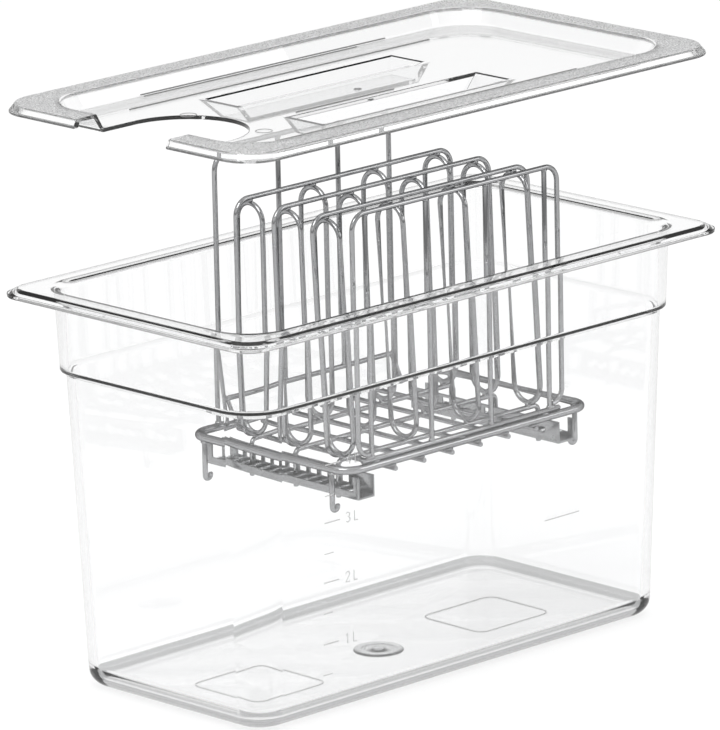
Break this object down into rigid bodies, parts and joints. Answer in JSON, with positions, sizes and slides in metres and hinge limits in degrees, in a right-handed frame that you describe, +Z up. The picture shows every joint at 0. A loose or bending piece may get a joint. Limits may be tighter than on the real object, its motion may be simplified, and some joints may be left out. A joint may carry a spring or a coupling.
{
  "type": "sous vide water bath",
  "caption": "Clear lidded water bath, its lid notched for a circulator, with a lift-out wire rack whose dividers hold pouches upright and apart.",
  "frame": {"origin": "middle of the container's underside", "axes": "+X along the container's long side, away from the lid's notch; +Y towards the rack's tall gate; +Z up"},
  "size_m": [0.325, 0.178, 0.291],
  "materials": {
    "clear_body": "clear polycarbonate, polished",
    "clear_lid": "clear polycarbonate, flange finely stippled",
    "stainless_wire": "electropolished stainless wire",
    "stainless_sheet": "stamped stainless sheet"
  },
  "bodies": {
    "container": {"container": "clear_body"},
    "rack": {"rack_frame": "stainless_wire", "cross_wire_1": "stainless_wire", "cross_wire_2": "stainless_wire", "cross_wire_3": "stainless_wire", "cross_wire_4": "stainless_wire", "cross_wire_5": "stainless_wire", "cross_wire_6": "stainless_wire", "rail_left": "stainless_sheet", "rail_right": "stainless_sheet", "foot_1": "stainless_wire", "foot_2": "stainless_wire", "foot_3": "stainless_wire", "foot_4": "stainless_wire", "tall_gate_frame": "stainless_wire", "tall_gate_lower_bar": "stainless_wire", "tall_gate_wire_1": "stainless_wire", "tall_gate_wire_2": "stainless_wire", "front_gate_frame": "stainless_wire", "front_gate_base": "stainless_wire", "front_gate_wire_1": "stainless_wire", "front_gate_wire_2": "stainless_wire", "front_gate_wire_3": "stainless_wire", "front_gate_wire_4": "stainless_wire"},
    "lid": {"lid": "clear_lid"},
    "divider_1": {"divider_1_base": "stainless_wire", "divider_1_frame": "stainless_wire", "divider_1_ring_1": "stainless_wire", "divider_1_ring_2": "stainless_wire", "divider_1_ring_3": "stainless_wire", "divider_1_ring_4": "stainless_wire"},
    "divider_2": {"divider_2_base": "stainless_wire", "divider_2_frame": "stainless_wire", "divider_2_ring_1": "stainless_wire", "divider_2_ring_2": "stainless_wire", "divider_2_ring_3": "stainless_wire", "divider_2_ring_4": "stainless_wire"},
    "divider_3": {"divider_3_base": "stainless_wire", "divider_3_frame": "stainless_wire", "divider_3_ring_1": "stainless_wire", "divider_3_ring_2": "stainless_wire", "divider_3_ring_3": "stainless_wire", "divider_3_ring_4": "stainless_wire"}
  },
  "joints": [
    {"name": "rack_lift", "type": "slide", "parent": "container", "child": "rack", "axis": [0, 0, 1], "range_m": [-0.086, 0.02]},
    {"name": "lid_lift", "type": "slide", "parent": "rack", "child": "lid", "axis": [0, 0, 1], "range_m": [0, 0.06]},
    {"name": "divider_1_lift", "type": "slide", "parent": "rack", "child": "divider_1", "axis": [0, 0, 1], "range_m": [0, 0.015]},
    {"name": "divider_2_lift", "type": "slide", "parent": "rack", "child": "divider_2", "axis": [0, 0, 1], "range_m": [0, 0.015]},
    {"name": "divider_3_lift", "type": "slide", "parent": "rack", "child": "divider_3", "axis": [0, 0, 1], "range_m": [0, 0.015]}
  ]
}
